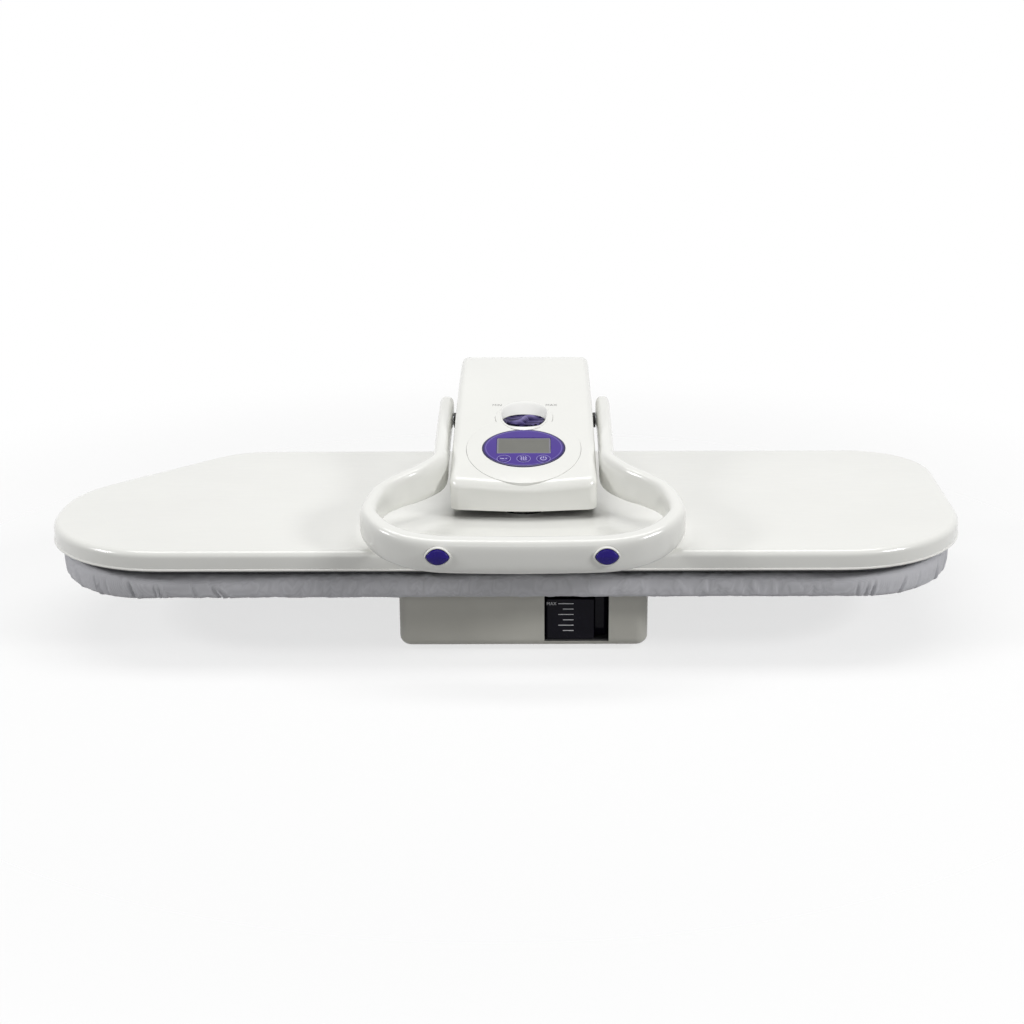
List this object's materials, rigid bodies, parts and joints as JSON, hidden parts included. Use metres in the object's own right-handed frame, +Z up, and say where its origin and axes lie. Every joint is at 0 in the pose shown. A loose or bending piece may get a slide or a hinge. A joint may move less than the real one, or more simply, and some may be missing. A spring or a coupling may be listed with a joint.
{
  "type": "steam ironing press",
  "caption": "Table-top steam ironing press: heated upper plate hinged over a padded board, with a horseshoe pressing handle, control console and pull-out water tank.",
  "frame": {"origin": "centre of the object's outline box on the surface it stands on", "axes": "+X to the right along the plate, +Y from the front to the hinge at the rear, +Z up"},
  "size_m": [1.008, 0.5002, 0.2426],
  "materials": {
    "glossy_white": "glossy",
    "warm_grey_plastic": "satin",
    "dark_grey_plastic": "matte",
    "black_plastic": "matte",
    "black_rubber": "matte",
    "violet_plastic": "glossy",
    "display_glass": "glossy",
    "smoked_plastic": "glossy",
    "grey_cloth": "matte",
    "foam": "matte",
    "zinc_steel": "satin",
    "aluminium": "satin",
    "brass": "satin",
    "copper_winding": "satin",
    "silicone_hose": "matte",
    "mineral_wool": "matte",
    "circuit_board": "satin"
  },
  "bodies": {
    "base": {"base_housing": "warm_grey_plastic", "base_pan": "warm_grey_plastic", "tank_bay": "black_plastic", "tank_socket": "black_plastic", "pump": "zinc_steel", "pump_cradle": "black_rubber", "suction_hose": "silicone_hose", "power_board": "circuit_board", "mains_transformer": "copper_winding", "power_inlet": "black_plastic", "board_rail_left": "zinc_steel", "board_rail_right": "zinc_steel", "board_tray": "zinc_steel", "foam_pad": "foam", "pad_cover": "grey_cloth", "rear_stand": "zinc_steel", "stand_cover": "warm_grey_plastic", "feed_hose_base": "silicone_hose", "loom_base": "black_plastic", "hinge_pin_left": "zinc_steel", "hinge_pin_right": "zinc_steel", "lift_spring_left": "zinc_steel", "lift_spring_right": "zinc_steel", "foot_front_left": "black_rubber", "foot_front_right": "black_rubber", "foot_rear_left": "black_rubber", "foot_rear_right": "black_rubber"},
    "tank": {"water_tank": "smoked_plastic", "tank_cap": "black_rubber", "tank_valve": "brass"},
    "press_arm": {"arm_frame": "zinc_steel", "neck_cover": "glossy_white", "console_base": "dark_grey_plastic", "console_housing": "glossy_white", "control_insert": "glossy_white", "display_lens": "violet_plastic", "lcd_panel": "display_glass", "control_board": "circuit_board", "knob_potentiometer": "black_plastic", "plate_cover": "glossy_white", "sole_plate": "aluminium", "heating_element": "zinc_steel", "insulation_mat": "mineral_wool", "steam_chamber": "aluminium", "plate_hanger": "aluminium", "plate_thermostat": "black_plastic", "feed_hose_arm": "silicone_hose", "loom_arm": "black_plastic", "handle_bush_left": "black_plastic", "handle_bush_right": "black_plastic"},
    "knob": {"temperature_knob": "violet_plastic"},
    "button_left": {"panel_button_left": "violet_plastic"},
    "button_centre": {"panel_button_centre": "violet_plastic"},
    "button_right": {"panel_button_right": "violet_plastic"},
    "lever": {"handle": "glossy_white", "handle_shaft": "zinc_steel", "handle_crank": "zinc_steel"},
    "lever_button_left": {"handle_button_left": "violet_plastic"},
    "lever_button_right": {"handle_button_right": "violet_plastic"},
    "link": {"pressure_link": "zinc_steel"}
  },
  "joints": [
    {"name": "press_open", "type": "hinge", "parent": "base", "child": "press_arm", "pos_m": [0.01696, 0.2261, 0.121], "axis": [-1, 0, 0], "range_deg": [0, 50]},
    {"name": "handle_lift", "type": "hinge", "parent": "press_arm", "child": "lever", "pos_m": [0.01696, 0.11185, 0.189], "axis": [-1, 0, 0], "range_deg": [0, 30]},
    {"name": "link_swing", "type": "hinge", "parent": "lever", "child": "link", "pos_m": [0.01696, 0.12904, 0.17877], "axis": [-1, 0, 0], "range_deg": [-35, 0]},
    {"name": "tank_pull", "type": "slide", "parent": "base", "child": "tank", "axis": [0, -1, 0], "range_m": [0, 0.16]},
    {"name": "knob_turn", "type": "hinge", "parent": "press_arm", "child": "knob", "pos_m": [0.01696, 0.03885, 0.2025], "axis": [0, 0, 1], "range_deg": [-135, 135]},
    {"name": "lever_button_left_press", "type": "slide", "parent": "lever", "child": "lever_button_left", "axis": [0, 1, 0], "range_m": [0, 0.0025], "stiffness_N_per_m": 800},
    {"name": "lever_button_right_press", "type": "slide", "parent": "lever", "child": "lever_button_right", "axis": [0, 1, 0], "range_m": [0, 0.0025], "stiffness_N_per_m": 800},
    {"name": "button_left_press", "type": "slide", "parent": "press_arm", "child": "button_left", "axis": [0, 0.3179, -0.9481], "range_m": [0, 0.0008], "stiffness_N_per_m": 1500},
    {"name": "button_centre_press", "type": "slide", "parent": "press_arm", "child": "button_centre", "axis": [0, 0.3179, -0.9481], "range_m": [0, 0.0008], "stiffness_N_per_m": 1500},
    {"name": "button_right_press", "type": "slide", "parent": "press_arm", "child": "button_right", "axis": [0, 0.3179, -0.9481], "range_m": [0, 0.0008], "stiffness_N_per_m": 1500}
  ],
  "couplings": [
    {"joint": "link_swing", "follows": "handle_lift", "ratio": -1.1647}
  ]
}
